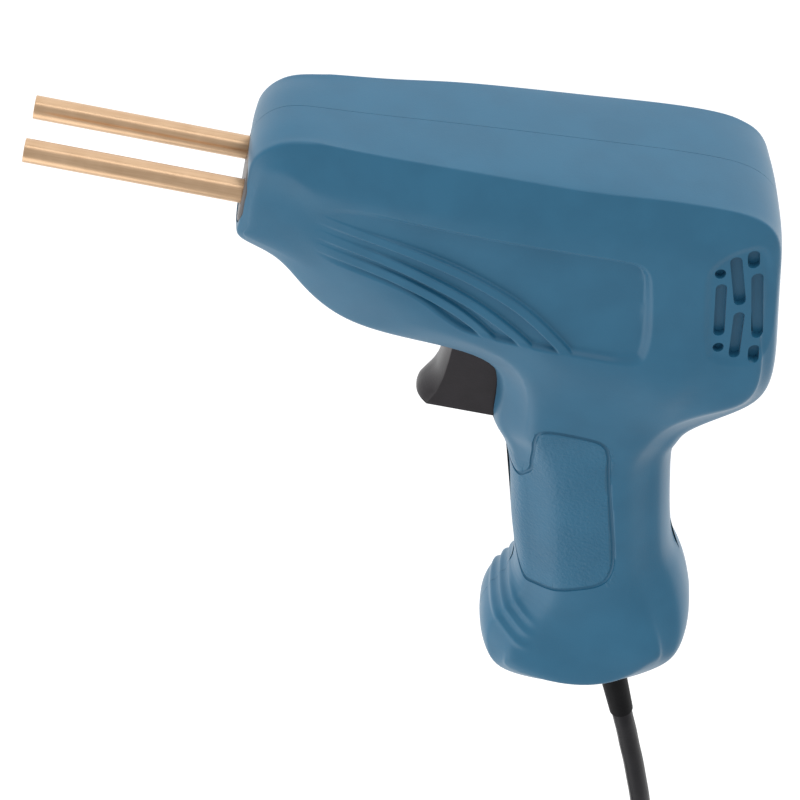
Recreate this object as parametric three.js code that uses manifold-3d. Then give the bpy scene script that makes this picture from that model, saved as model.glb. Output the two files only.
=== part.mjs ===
// Hand-held two-electrode welder (hot stapler) lying on its right cheek.
// Tool coordinates, in millimetres: x runs from the nose to the rear, y is the tool's own
// "up" (rods above the trigger), z is the tool's left. The parting plane is z = 0.
import * as THREE from 'three';
import { mergeVertices } from 'three/addons/utils/BufferGeometryUtils.js';
import Module from 'manifold-3d';

const wasm = await Module();
wasm.setup();

// ---------------------------------------------------------------- driving dimensions
const CHEEK = 24.2;              // half width of the casing at its flat cheeks
const REST = { x: 110, y: -10 };  // the point of the right cheek that is the row's origin
const WALL = 2.4;                // casing wall
const GAP = 0.3;                 // air between touching pieces

const ROD_R = 3.0;
const ROD_Z = 9.45;              // each rod's distance from the parting plane
const ROD_TIP_X = -53.5;
const ROD_BACK_X = 26;
const STAPLE_HOLE_R = 0.7;
const STAPLE_HOLE_DEPTH = 9;

const PLATE = { halfWidth: 14.5, halfHeight: 9.4, radius: 7.5, front: -1.3, back: 1.9 };

const TRIGGER_HALF = 7.6;
const SLOT_HALF = 8.2;

const CORD_R = 3.0;
const CORD_LEAN = 24.2;          // lean of the line the cord leaves the base along, degrees
const EXIT = { x: 128.2, y: -137.2 };
const RELIEF_OUT = 29;           // the strain relief's length outside the base
const COIL = { x: 130, y: -296, mean: 33 };
const PLUG = { x: 58, y: -330, turn: 164, half: 6.85 };
const SURFACE = -CHEEK;          // the height of the surface the tool lies on

const SCREW_SEAT = 9;            // depth of the housing screws' seats below the parting plane
const CLAMP_SCREW_X = 20;
const CORE = { front: 52, back: 80, low: -20, high: 16, half: 17, leg: 5, side: 4.5, yoke: 5.5 };
const COIL_TOP = 0.4;            // top of the primary coil
const TRIGGER_BACK = 80;
const SWITCH = { front: 92, back: 110, y: -52 };

const SCREWS = [[21.5, 14.5], [24.5, -14], [119, 19.5], [134, -34.5], [118.5, -62], [105, -134]];
const VENTS = [                  // slots by column: x, y of both ends, radius
  [119.3, 10.6, 119.3, 10.6, 1.25], [120.3, 6.0, 122.9, -5.4, 1.35], [124.0, -10.2, 124.0, -10.2, 1.2],
  [122.9, 14.2, 126.6, 2.6, 1.5], [127.6, -1.6, 129.4, -11.6, 1.4],
  [127.0, 18.0, 127.9, 15.2, 1.5], [129.3, 11.2, 133.4, -4.6, 1.5], [133.9, -9.0, 134.0, -12.2, 1.4],
];

// ---------------------------------------------------------------- materials
const materials = {
  shell: new THREE.MeshStandardMaterial({ color: 0x4b7590, roughness: 0.5, metalness: 0 }),
  black: new THREE.MeshStandardMaterial({ color: 0x38363a, roughness: 0.45, metalness: 0 }),
  cord: new THREE.MeshStandardMaterial({ color: 0x2b2b2e, roughness: 0.6, metalness: 0 }),
  insulator: new THREE.MeshStandardMaterial({ color: 0x757171, roughness: 0.5, metalness: 0 }),
  brass: new THREE.MeshStandardMaterial({ color: 0xc8a478, roughness: 0.3, metalness: 1 }),
  copper: new THREE.MeshStandardMaterial({ color: 0xb87350, roughness: 0.35, metalness: 1 }),
  steel: new THREE.MeshStandardMaterial({ color: 0xa8a8a6, roughness: 0.35, metalness: 1 }),
  core: new THREE.MeshStandardMaterial({ color: 0x6a6a6c, roughness: 0.6, metalness: 1 }),
  winding: new THREE.MeshStandardMaterial({ color: 0xa5562e, roughness: 0.4, metalness: 0.8 }),
  nylon: new THREE.MeshStandardMaterial({ color: 0xe6e2d8, roughness: 0.6, metalness: 0 }),
};

// ---------------------------------------------------------------- solids
const radians = (degrees) => (degrees * Math.PI) / 180;

function toManifold(geometry) {
  const bare = geometry.clone();
  bare.deleteAttribute('normal');
  bare.deleteAttribute('uv');
  const merged = mergeVertices(bare, 1e-4);
  return new wasm.Manifold(new wasm.Mesh({
    numProp: 3,
    vertProperties: new Float32Array(merged.attributes.position.array),
    triVerts: new Uint32Array(merged.index.array),
  }));
}

function toGeometry(solid) {
  const mesh = solid.getMesh();
  const points = new Float32Array((mesh.vertProperties.length / mesh.numProp) * 3);
  for (let i = 0; i < points.length / 3; i += 1) {
    points.set(mesh.vertProperties.slice(i * mesh.numProp, i * mesh.numProp + 3), i * 3);
  }
  const geometry = new THREE.BufferGeometry();
  geometry.setAttribute('position', new THREE.BufferAttribute(points, 3));
  geometry.setIndex(new THREE.BufferAttribute(new Uint32Array(mesh.triVerts), 1));
  geometry.computeVertexNormals();
  return geometry;
}

// A box between two corners.
function block(low, high) {
  const size = high.map((value, i) => value - low[i]);
  const box = new THREE.BoxGeometry(...size);
  box.translate(...low.map((value, i) => value + size[i] / 2));
  return toManifold(box);
}

// A cylinder from one point to another.
function rod(from, to, radius, sides = 16, endRadius = radius) {
  const a = new THREE.Vector3(...from);
  const b = new THREE.Vector3(...to);
  const shape = new THREE.CylinderGeometry(endRadius, radius, a.distanceTo(b), sides);
  const turn = new THREE.Quaternion().setFromUnitVectors(
    new THREE.Vector3(0, 1, 0), b.clone().sub(a).normalize());
  shape.applyQuaternion(turn);
  shape.translate(...a.clone().add(b).multiplyScalar(0.5).toArray());
  return toManifold(shape);
}

// A plane outline pushed along z.
function slab(outline, low, high) {
  const shape = new THREE.Shape(outline.map(([x, y]) => new THREE.Vector2(x, y)));
  const solid = new THREE.ExtrudeGeometry(shape, { depth: high - low, bevelEnabled: false });
  solid.translate(0, 0, low);
  return toManifold(solid);
}

// A rounded rectangle in y and z pushed along x.
function roundedPlate(halfHeight, halfWidth, radius, low, high) {
  const shape = new THREE.Shape();
  const corners = [[1, 1], [-1, 1], [-1, -1], [1, -1]];
  corners.forEach(([sy, sz], i) => {
    const start = (i * Math.PI) / 2;
    shape.absarc(sy * (halfHeight - radius), sz * (halfWidth - radius), radius,
      start, start + Math.PI / 2, false);
  });
  const solid = new THREE.ExtrudeGeometry(shape,
    { depth: high - low, bevelEnabled: false, curveSegments: 6 });
  solid.applyMatrix4(new THREE.Matrix4().makeBasis(
    new THREE.Vector3(0, 1, 0), new THREE.Vector3(0, 0, 1), new THREE.Vector3(1, 0, 0)));
  solid.translate(low, 0, 0);
  return toManifold(solid);
}

// A slot with round ends, standing along z.
function slotSolid([x1, y1, x2, y2, radius], low, high, sides = 5) {
  const along = Math.atan2(y2 - y1, x2 - x1);
  const shape = new THREE.Shape();
  shape.absarc(x2, y2, radius, along - Math.PI / 2, along + Math.PI / 2, false);
  shape.absarc(x1, y1, radius, along + Math.PI / 2, along + Math.PI * 1.5, false);
  const solid = new THREE.ExtrudeGeometry(shape,
    { depth: high - low, bevelEnabled: false, curveSegments: sides });
  solid.translate(0, 0, low);
  return toManifold(solid);
}

// ---------------------------------------------------------------- the casing's cage
// Half width of the side wall along the tool.
const cheekAt = (x) => CHEEK - 8.8 * Math.max(0, (80 - x) / 78) ** 1.7;

// Each row: x, y on the parting plane, then how far in and how high the crease lies,
// then how far in and how high the shoulder of the cheek lies.
const TOP = [
  [-0.2, 12.8, 0.4, 14.6, 4.2, 16.2], [6.6, 17.8, 0.2, 15.4, 8.4, 17.2],
  [15.2, 21.9, 0.3, 15.6, 12.0, 18.4], [31.4, 23.4, 0.5, 17.2, 12.6, 20.6],
  [47, 24.9, 0.5, 19.0, 12.4, 22.4], [65, 26.5, 0.8, 20.4, 12.6, 23.5],
  [82.7, 27.9, 1.0, 21.3, 13.2, 24.0], [98, 29.1, 0.7, 21.4, 13.8, 24.1],
  [111, 29.7, 0.6, 21.5, 13.6, 24.0], [121.5, 28.8, 0.8, 21.2, 11.5, 23.3],
  [129.8, 23.4, 1.2, 20.8, 8.0, 22.6],
];
const REAR = [[134.6, 10.5, 2.0, 20.2, 7, 22.5], [138.8, -5.5, 2.3, 19.8, 7, 22.7],
  [142.2, -19, 3.0, 19.4, 7.5, 22.8]];
const UNDER_REAR = [[142.6, -30.5, 5.0, 18.0, 10, 22.4], [136.4, -39.5, 5.8, 17.0, 13, 22.0]];
const BACK_STRAP = [[129.2, -48.5, 6, 14.5, 14, 18.8], [126.6, -59.5, 6.5, 13.2, 14, 16.8],
  [129.6, -73, 6.5, 13, 14, 16.7], [134.6, -90, 6.5, 13.2, 14, 16.9],
  [139.4, -98.4, 6.5, 14, 14, 17.9], [144.8, -108.5, 6, 16.2, 13, 20.2],
  [147.0, -120, 5, 18.6, 11, 22.0], [142.6, -130.2, 4.5, 18.6, 10, 22.2]];
const BASE = [[130.5, -136.8, 2.4, 18.8, 7, 22.6], [115.5, -141.3, 2.4, 18.4, 7, 22.4]];
const FRONT_STRAP = [[99.5, -143.8, 3, 15.2, 9, 19.8], [91.6, -136.5, 3.5, 14, 10, 19.4],
  [90.8, -125.5, 4, 13.4, 11, 18.4], [95.2, -113, 5, 12.8, 12, 17.2],
  [91.0, -96, 5.5, 12.6, 13, 16.8], [86.2, -78, 5.5, 12.6, 13, 16.9],
  [79.0, -63.5, 5.5, 12.9, 13, 18.0], [71.8, -37.5, 5, 15.6, 12, 21.2]];
const BELLY = [[50, -31.8, 3.5, 18.8, 12, 22.0], [32, -29.6, 3.5, 18.0, 13.5, 20.2],
  [20.0, -23.0, 3.0, 16.6, 10.5, 18.6], [11, -15.6, 2.4, 15.6, 6.0, 17.2],
  [1.3, -12.3, 1.8, 13.7, 5.0, 15.8]];
const NOSE = [[0.5, -6.5, 0.7, 13.9, 4, 15.9], [0.2, 0, 0.7, 14, 4, 15.9], [0, 6.5, 0.7, 14.1, 4, 15.9]];
const OUTLINE = [...TOP, ...REAR, ...UNDER_REAR, ...BACK_STRAP, ...BASE, ...FRONT_STRAP, ...BELLY, ...NOSE];

const COLUMNS = 10;              // cells of the cheek grid from nose to rear
const ROWS = 4;                  // cells of the cheek grid from top to belly
const HANDLE_ROWS = 7;           // cells of the handle grid from the body to the base
const FIRST = 5;                 // the handle hangs below columns FIRST to LAST
const LAST = 8;

// Inward and height fractions of the six rings, from the parting plane to the shoulder.
function ringPoint(row, level, inset) {
  const [, , dc, zc, ds, zs] = row;
  const rings = [
    [inset, inset ? -1 : GAP / 2],
    [0.12 * dc + inset, 0.5 * zc],
    [0.5 * dc + 0.95 * inset, 0.86 * zc - 0.4 * inset],
    [dc + 0.75 * inset, zc - 0.75 * inset],
    [(dc + ds) / 2 + 0.2 * inset, zc * 0.4 + zs * 0.6 - 0.95 * inset],
    [ds, zs - inset],
  ];
  return rings[level];
}

function inwardAt(index) {
  const [ax, ay] = OUTLINE[(index + OUTLINE.length - 1) % OUTLINE.length];
  const [bx, by] = OUTLINE[(index + 1) % OUTLINE.length];
  const length = Math.hypot(bx - ax, by - ay);
  return [(by - ay) / length, -(bx - ax) / length];
}

// One closed half of the casing's form, for z above the parting plane.
function halfForm(inset) {
  const points = [];
  const faces = [];
  const count = OUTLINE.length;
  const add = (x, y, z) => points.push([x, y, z]) - 1;
  const quad = (a, b, c, d) => faces.push([a, b, c], [a, c, d]);
  const rings = Array.from({ length: 6 }, (_, level) => OUTLINE.map((row, i) => {
    const [nx, ny] = inwardAt(i);
    const [d, z] = ringPoint(row, level, inset);
    return add(row[0] + nx * d, row[1] + ny * d, z);
  }));
  for (let level = 0; level < 5; level += 1) {
    for (let i = 0; i < count; i += 1) {
      const next = (i + 1) % count;
      quad(rings[level][i], rings[level + 1][i], rings[level + 1][next], rings[level][next]);
    }
  }
  const flat = rings[0].map((i) => new THREE.Vector2(points[i][0], points[i][1]));
  THREE.ShapeUtils.triangulateShape([...flat], []).forEach(([a, b, c]) => {
    const facesUp = THREE.ShapeUtils.area([flat[a], flat[b], flat[c]]) > 0;
    faces.push(facesUp ? [a, c, b] : [a, b, c]);
  });
  const mix = (a, b, t) => points[a].map((value, k) => value + (points[b][k] - value) * t);
  const shoulder = rings[5];
  const start = { rear: COLUMNS, rearLow: COLUMNS + ROWS, strap: COLUMNS + ROWS + COLUMNS - LAST };
  const baseStart = start.strap + HANDLE_ROWS;
  const frontStart = baseStart + LAST - FIRST;
  const body = Array.from({ length: COLUMNS + 1 }, () => []);
  const grip = Array.from({ length: HANDLE_ROWS + 1 }, () => []);
  for (let r = 0; r <= HANDLE_ROWS; r += 1) {
    const front = shoulder[frontStart + HANDLE_ROWS - r];
    const back = shoulder[start.strap + r];
    grip[r][0] = front;
    grip[r][3] = back;
    for (let c = 1; c < 3; c += 1) {
      if (r === HANDLE_ROWS) grip[r][c] = shoulder[baseStart + 3 - c];
      else {
        const [x, y, z] = mix(front, back, c / 3);
        add(x, y, z + (r === 0 ? 1.6 : 0.5));
        grip[r][c] = points.length - 1;
      }
    }
  }
  const bellyStart = frontStart + HANDLE_ROWS;
  for (let i = 0; i <= COLUMNS; i += 1) {
    body[i][0] = shoulder[i];
    if (i <= FIRST) body[i][ROWS] = shoulder[bellyStart + FIRST - i];
    else if (i < LAST) body[i][ROWS] = grip[0][i - FIRST];
    else body[i][ROWS] = shoulder[start.rearLow + COLUMNS - i];
  }
  for (let i = 0; i <= COLUMNS; i += 1) {
    for (let j = 1; j < ROWS; j += 1) {
      if (i === 0) body[i][j] = shoulder[count - j];
      else if (i === COLUMNS) body[i][j] = shoulder[COLUMNS + j];
      else {
        const [x, y] = mix(body[i][0], body[i][ROWS], j / ROWS);
        body[i][j] = add(x, y, cheekAt(x) - (i === COLUMNS - 1 ? 0.5 : 0) - inset);
      }
    }
  }
  for (let i = 0; i < COLUMNS; i += 1) {
    for (let j = 0; j < ROWS; j += 1) quad(body[i][j], body[i][j + 1], body[i + 1][j + 1], body[i + 1][j]);
  }
  for (let r = 0; r < HANDLE_ROWS; r += 1) {
    for (let c = 0; c < 3; c += 1) quad(grip[r][c], grip[r + 1][c], grip[r + 1][c + 1], grip[r][c + 1]);
  }
  const geometry = new THREE.BufferGeometry();
  geometry.setAttribute('position', new THREE.Float32BufferAttribute(points.flat(), 3));
  geometry.setIndex(faces.flat());
  return toManifold(geometry);
}

// ---------------------------------------------------------------- casing
// The shallow panel in the cheek, with three ribs left standing in it.
function recess() {
  const outline = [[24, -9], [32, 9], [58, 9.4], [90, 10.6], [98, 9.6], [102.6, 4], [105.8, -9],
    [105.4, -16], [100, -20.4], [60, -20.8], [42, -14]];
  const floor = [[22, cheekAt(22) + 1], [30, cheekAt(30) - 0.3], [46, cheekAt(46) - 1.1],
    [64, cheekAt(64) - 1.6], [108, CHEEK - 1.6], [108, CHEEK + 6], [22, CHEEK + 6]];
  const side = slab(floor, -30, 30).rotate([90, 0, 0]);
  const ribs = [0, 1, 2].map((i) => {
    const x = 85.8 - 9.4 * i;
    const slope = [[x, -22], [x - 13, -10 + i], [x - 30, -3.5 - 1.2 * i], [20, 4.5 - 4.5 * i]];
    const upper = slope.map(([px, py]) => [px + 1.4, py + 1.4]).reverse();
    return slab([...slope, ...upper], 0, 40);
  });
  return slab(outline, 10, 40).intersect(side).subtract(wasm.Manifold.union(ribs));
}

const slotBox = () => slab([[54, -27], [86, -27], [86, -58.4], [54, -58.4]], -SLOT_HALF, SLOT_HALF);
const cordLine = (t) => [EXIT.x + t * Math.sin(radians(CORD_LEAN)),
  EXIT.y - t * Math.cos(radians(CORD_LEAN)), 0];

function casingCuts() {
  return [
    roundedPlate(PLATE.halfHeight + GAP, PLATE.halfWidth + GAP, PLATE.radius + GAP, -5, 8),
    slotBox(),
    rod(cordLine(-5), cordLine(5), 4.9, 16),
    rod(cordLine(-9.5), cordLine(-3.2), 7.2, 16),
    recess(),
    ...VENTS.map((slot) => slotSolid(slot, CHEEK - 3.4, CHEEK + 5)),
  ];
}

// Floors behind the blind slots, so that they open only two millimetres deep.
function ventBacking(form) {
  const outline = [[115, 13], [122, 17], [127, 19], [135.5, -5], [135, -16], [122, -15]];
  return slab(outline, CHEEK - 6, CHEEK - 2).intersect(form);
}

function shellHalf() {
  const form = halfForm(0);
  const solid = form.subtract(halfForm(WALL));
  return { form, solid: wasm.Manifold.union([solid, ventBacking(form)]) };
}

function leftShell() {
  const { form, solid } = shellHalf();
  const core = form.intersect(block([-5, -160, 0], [160, 40, 22]));
  const bosses = SCREWS.map(([x, y]) => rod([x, y, GAP / 2], [x, y, 21.5], 3.6, 12));
  const inside = wasm.Manifold.union(bosses).intersect(core);
  const holes = SCREWS.map(([x, y]) => rod([x, y, -1], [x, y, 11.5], 1.8, 12));
  return wasm.Manifold.union([solid, inside])
    .subtract(wasm.Manifold.union([...casingCuts(), ...holes]));
}

function rightShell() {
  const { form, solid } = shellHalf();
  const bosses = SCREWS.map(([x, y]) => rod([x, y, GAP / 2], [x, y, 40], 5.2, 16));
  const inside = wasm.Manifold.union(bosses).intersect(form);
  const holes = SCREWS.flatMap(([x, y]) => [rod([x, y, -1], [x, y, 12], 1.8, 12),
    rod([x, y, SCREW_SEAT], [x, y, 40], 3.3, 16)]);
  const whole = wasm.Manifold.union([solid, inside])
    .subtract(wasm.Manifold.union([...casingCuts(), ...holes]));
  return whole.mirror([0, 0, 1]);
}

function housingScrew([x, y]) {
  const head = rod([x, y, -SCREW_SEAT - GAP - 2.2], [x, y, -SCREW_SEAT - GAP], 2.9, 12);
  const shank = rod([x, y, -SCREW_SEAT - GAP - 0.1], [x, y, 10.5], 1.5, 10);
  const cross = [0, 90].map((turn) => block([-1.7, -0.4, -0.6], [1.7, 0.4, 1.2])
    .rotate([0, 0, turn]).translate([x, y, -SCREW_SEAT - GAP - 2.2]));
  return head.add(shank).subtract(wasm.Manifold.union(cross));
}

// ---------------------------------------------------------------- nose and electrodes
const rodHole = (side, from, to) => rod([from, 0, side * ROD_Z], [to, 0, side * ROD_Z], ROD_R + 0.6, 20);

function nosePlate() {
  const plate = roundedPlate(PLATE.halfHeight, PLATE.halfWidth, PLATE.radius, PLATE.front, PLATE.back);
  return plate.subtract(rodHole(1, -9, 9)).subtract(rodHole(-1, -9, 9));
}

function electrodeCarrier() {
  const body = block([5, -6.5, -12.4], [12.8, 6.5, 12.4]);
  const holes = [1, -1].map((side) => rod([0, 0, side * ROD_Z], [20, 0, side * ROD_Z], ROD_R + GAP, 16));
  return body.subtract(wasm.Manifold.union(holes));
}

function electrodeRod(side) {
  const z = side * ROD_Z;
  const hole = rod([ROD_TIP_X - 1, 0, z], [ROD_TIP_X + STAPLE_HOLE_DEPTH, 0, z], STAPLE_HOLE_R, 8);
  return rod([ROD_TIP_X, 0, z], [ROD_BACK_X, 0, z], ROD_R, 24).subtract(hole);
}

function rodClamp(side) {
  const z = side * ROD_Z;
  const body = block([14, -5.4, z - 5], [ROD_BACK_X, 5.4, z + 5]);
  const bore = rod([10, 0, z], [30, 0, z], ROD_R + GAP, 16);
  return body.subtract(bore).subtract(rod([CLAMP_SCREW_X, 0, z], [CLAMP_SCREW_X, 9, z], 1.7, 10));
}

function clampScrew(side) {
  const z = side * ROD_Z;
  const shank = rod([CLAMP_SCREW_X, ROD_R + 0.35, z], [CLAMP_SCREW_X, 6, z], 1.4, 10);
  return shank.add(rod([CLAMP_SCREW_X, 5.7, z], [CLAMP_SCREW_X, 8, z], 2.6, 12));
}

// ---------------------------------------------------------------- transformer
function transformerCore() {
  const { front, back, low, high, half, leg, side, yoke } = CORE;
  const frame = block([front, low, -half], [back, high, half]);
  const windows = [1, -1].map((s) => block([front - 1, low + yoke, Math.min(s * leg, s * (half - side))],
    [back + 1, high - yoke, Math.max(s * leg, s * (half - side))]));
  return frame.subtract(wasm.Manifold.union(windows));
}

function primaryCoil() {
  const { front, back, low, half, leg, side, yoke } = CORE;
  const bottom = low + yoke + GAP;
  const outer = half - side - GAP;
  const depth = outer - leg;
  const ring = block([front - depth, bottom, -outer], [back + depth, COIL_TOP, outer]);
  return ring.subtract(block([front - GAP, bottom - 1, -leg - GAP], [back + GAP, COIL_TOP + 1, leg + GAP]));
}

function secondaryLoop() {
  const legs = [1, -1].map((s) => block([ROD_BACK_X + GAP, COIL_TOP + 0.6, Math.min(s * 7.2, s * 10.2)],
    [CORE.back + 7, COIL_TOP + 7, Math.max(s * 7.2, s * 10.2)]));
  const web = block([CORE.back + 4, COIL_TOP + 0.6, -10.2], [CORE.back + 7, COIL_TOP + 7, 10.2]);
  return wasm.Manifold.union([...legs, web]);
}

// ---------------------------------------------------------------- trigger and switch
function trigger() {
  const outline = [[58.4, -25.2], [58.2, -34], [57.6, -39.5], [56.9, -43.6], [55.2, -47.0], [54.8, -50.6],
    [55.6, -54.4], [57.0, -56.4], [59.2, -57.4], [TRIGGER_BACK, -56.6], [TRIGGER_BACK, -25.2]];
  const body = slab(outline, -TRIGGER_HALF, TRIGGER_HALF);
  const bevels = [1, -1].map((s) => slab([[50, 4.6], [57.6, 4.6], [62.5, 9], [50, 9]], 20, 70)
    .rotate([90, 0, 0]).mirror([0, 0, s < 0 ? 1 : 0]));
  const lug = block([58.5, -28.4, -10.5], [TRIGGER_BACK - 1, -25.4, 10.5]);
  return body.subtract(wasm.Manifold.union(bevels)).add(lug);
}

function switchBody() {
  const body = block([SWITCH.front, -61, -7], [SWITCH.back, -43, 7]);
  return body.subtract(rod([SWITCH.front - 1, SWITCH.y, 0], [SWITCH.back - 0.8, SWITCH.y, 0], 2.4, 12));
}

const switchPlunger = () => rod([TRIGGER_BACK + GAP, SWITCH.y, 0], [SWITCH.front + 11, SWITCH.y, 0], 2.0, 12);

// A round wire along a curve.
function wire(points, radius, sides, steps, tension = 0.5) {
  const path = new THREE.CatmullRomCurve3(points.map((p) => new THREE.Vector3(...p)), false,
    'catmullrom', tension);
  const section = new THREE.Shape();
  section.absarc(0, 0, radius, 0, Math.PI * 2, false);
  return toManifold(new THREE.ExtrudeGeometry(section,
    { steps, curveSegments: sides / 2, extrudePath: path, bevelEnabled: false }));
}

function triggerSpring() {
  const turns = 4;
  const steps = turns * 8;
  const length = SWITCH.front - TRIGGER_BACK - 2 * GAP - 1.2;
  const points = Array.from({ length: steps + 1 }, (_, i) => {
    const angle = (i / 8) * Math.PI * 2;
    return [TRIGGER_BACK + GAP + 0.6 + (length * i) / steps,
      SWITCH.y + 3.4 * Math.cos(angle), 3.4 * Math.sin(angle)];
  });
  return wire(points, 0.45, 6, steps);
}

// ---------------------------------------------------------------- cord and its fittings
// A solid made around the local y axis, put on the line that the cord leaves the base along.
const onCordLine = (solid) => solid.rotate([0, 0, CORD_LEAN]).translate([EXIT.x, EXIT.y, 0]);

function strainRelief() {
  const profile = [[0, -RELIEF_OUT], [3.5, -RELIEF_OUT], [3.75, -RELIEF_OUT + 1], [4.4, -1], [4.5, 3.4],
    [6.8, 3.5], [6.8, 6], [4.4, 6.1], [4.4, 13], [0, 13]];
  const lathe = new THREE.LatheGeometry(profile.map(([r, y]) => new THREE.Vector2(r, y)), 20);
  return onCordLine(toManifold(lathe));
}

const innerCord = () => onCordLine(rod([0, 13.3, 0], [0, 32, 0], CORD_R, 12));

function cordClamp() {
  const body = block([-9.5, 18, -5], [9.5, 26, 5]);
  const bore = rod([0, 10, 0], [0, 40, 0], CORD_R + GAP, 16);
  const holes = [1, -1].map((s) => rod([s * 6.8, 22, -6], [s * 6.8, 22, 6], 1.7, 10));
  return onCordLine(body.subtract(wasm.Manifold.union([bore, ...holes])));
}

function cordClampScrew(side) {
  const head = rod([side * 6.8, 22, 5.3], [side * 6.8, 22, 7], 2.5, 12);
  return onCordLine(head.add(rod([side * 6.8, 22, -4], [side * 6.8, 22, 5.4], 1.4, 10)));
}

const cordStart = cordLine(RELIEF_OUT + GAP);
// From the relief's tip down to the surface and up to the side of the coil.
const LEAD = [cordStart, [144.0, -172.4, -0.6], [149.6, -185.6, -1.8], [156.4, -203, -4.2],
  [162.4, -221, -8.2], [167.4, -239, -13.0], [171.4, -257, -17.6], [174.2, -274, -20.4],
  [175.8, -291, SURFACE + CORD_R]];
const TAIL = [[COIL.x, COIL.y - 45.6, SURFACE + CORD_R], [COIL.x - 16, COIL.y - 45.9, SURFACE + CORD_R],
  [COIL.x - 30, COIL.y - 44, SURFACE + CORD_R + 0.4], [COIL.x - 44, COIL.y - 40, SURFACE + CORD_R + 1.6],
  [COIL.x - 58, COIL.y - 35.5, SURFACE + CORD_R + 3.2], [PLUG.x + 0.6, PLUG.y - 0.2, SURFACE + PLUG.half]];

function coilRing() {
  const low = SURFACE;
  const high = SURFACE + 4 * CORD_R + 0.3;
  const [inner, outer] = [COIL.mean - 3 * CORD_R - 0.2, COIL.mean + 3 * CORD_R + 0.2];
  const profile = [[inner, low], [outer, low], [outer, high], [inner, high], [inner, low]];
  const lathe = new THREE.LatheGeometry(profile.map(([r, y]) => new THREE.Vector2(r, y)), 40);
  lathe.rotateX(Math.PI / 2);
  return toManifold(lathe);
}

// The plug, drawn with its cord end at the local origin and its pins along +x.
const onPlug = (solid) => solid.rotate([0, 0, PLUG.turn])
  .translate([PLUG.x, PLUG.y, SURFACE + PLUG.half]);

const plugRelief = () => onPlug(rod([0, 0, 0], [22, 0, 0], 3.6, 16, 5.2));

function plugBody() {
  const outline = [[22.3, -6], [34, -9], [44, -17.2], [57, -17.6], [57, 17.6], [44, 17.2], [34, 9], [22.3, 6]];
  const side = slab([[22.3, -5.4], [34, -PLUG.half], [57, -PLUG.half], [57, PLUG.half], [34, PLUG.half],
    [22.3, 5.4]], -30, 30).rotate([90, 0, 0]);
  const holes = [1, -1].map((s) => rod([50, 9.3 * s, 0], [60, 9.3 * s, 0], 2.3, 12));
  return onPlug(slab(outline, -10, 10).intersect(side).subtract(wasm.Manifold.union(holes)));
}

const plugPin = (side) => onPlug(rod([50.3, 9.3 * side, 0], [76, 9.3 * side, 0], 2.0, 12));

// ---------------------------------------------------------------- wiring
const LEADS = {
  lead_live: [[120, -102.5, 2], [117, -92, 5], [113, -78, 5], [112.2, -66, 4], [111.8, -58, 3]],
  lead_switched: [[111.8, -47, 3], [114, -41, 4], [112, -30, 5], [104, -20, 6], [97, -13, 6], [88.6, -9, 6]],
  lead_neutral: [[120.3, -101.5, -2], [117, -88, -6], [111.3, -75, -8.6], [111.2, -60, -9],
    [111.6, -44, -9], [107, -28, -8], [98, -15, -6], [88.6, -9, -6]],
};

// ---------------------------------------------------------------- assembly
const tool = new THREE.Group();
tool.position.set(-REST.x, -REST.y, CHEEK);

function place(name, solid, material) {
  const mesh = new THREE.Mesh(toGeometry(solid), materials[material]);
  mesh.name = name;
  tool.add(mesh);
  return mesh;
}

place('left_shell', leftShell(), 'shell');
place('right_shell', rightShell(), 'shell');
SCREWS.forEach((spot, i) => place(`housing_screw_${i + 1}`, housingScrew(spot), 'steel'));
place('nose_plate', nosePlate(), 'insulator');
place('electrode_carrier', electrodeCarrier(), 'insulator');
[['left', 1], ['right', -1]].forEach(([name, side]) => {
  place(`electrode_rod_${name}`, electrodeRod(side), 'brass');
  place(`rod_clamp_${name}`, rodClamp(side), 'brass');
  place(`clamp_screw_${name}`, clampScrew(side), 'steel');
});
place('transformer_core', transformerCore(), 'core');
place('primary_coil', primaryCoil(), 'winding');
place('secondary_loop', secondaryLoop(), 'copper');
place('trigger', trigger(), 'black');
place('trigger_spring', triggerSpring(), 'steel');
place('switch_body', switchBody(), 'black');
place('switch_plunger', switchPlunger(), 'nylon');
Object.entries(LEADS).forEach(([name, points]) => place(name, wire(points, 1.1, 6, 16), 'cord'));
place('strain_relief', strainRelief(), 'cord');
place('inner_cord', innerCord(), 'cord');
place('cord_clamp', cordClamp(), 'nylon');
place('cord_clamp_screw_1', cordClampScrew(1), 'steel');
place('cord_clamp_screw_2', cordClampScrew(-1), 'steel');
place('power_cord', wire(LEAD, CORD_R, 10, 20), 'cord');
const coil = place('cord_coil', coilRing(), 'cord');
coil.position.set(COIL.x, COIL.y, 0);
place('cord_tail', wire(TAIL, CORD_R, 10, 12), 'cord');
place('plug_relief', plugRelief(), 'cord');
place('plug_body', plugBody(), 'cord');
place('plug_pin_1', plugPin(1), 'steel');
place('plug_pin_2', plugPin(-1), 'steel');

const row = new THREE.Group();
row.add(tool);
export default row;
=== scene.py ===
# %% [markdown]
# # A hand-held electrode welding gun, lesson by lesson
# The gun lies on its right cheek. Its casing is two blue mouldings, the nose carries two brass
# rods, and a black trigger sticks out below the body.

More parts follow.
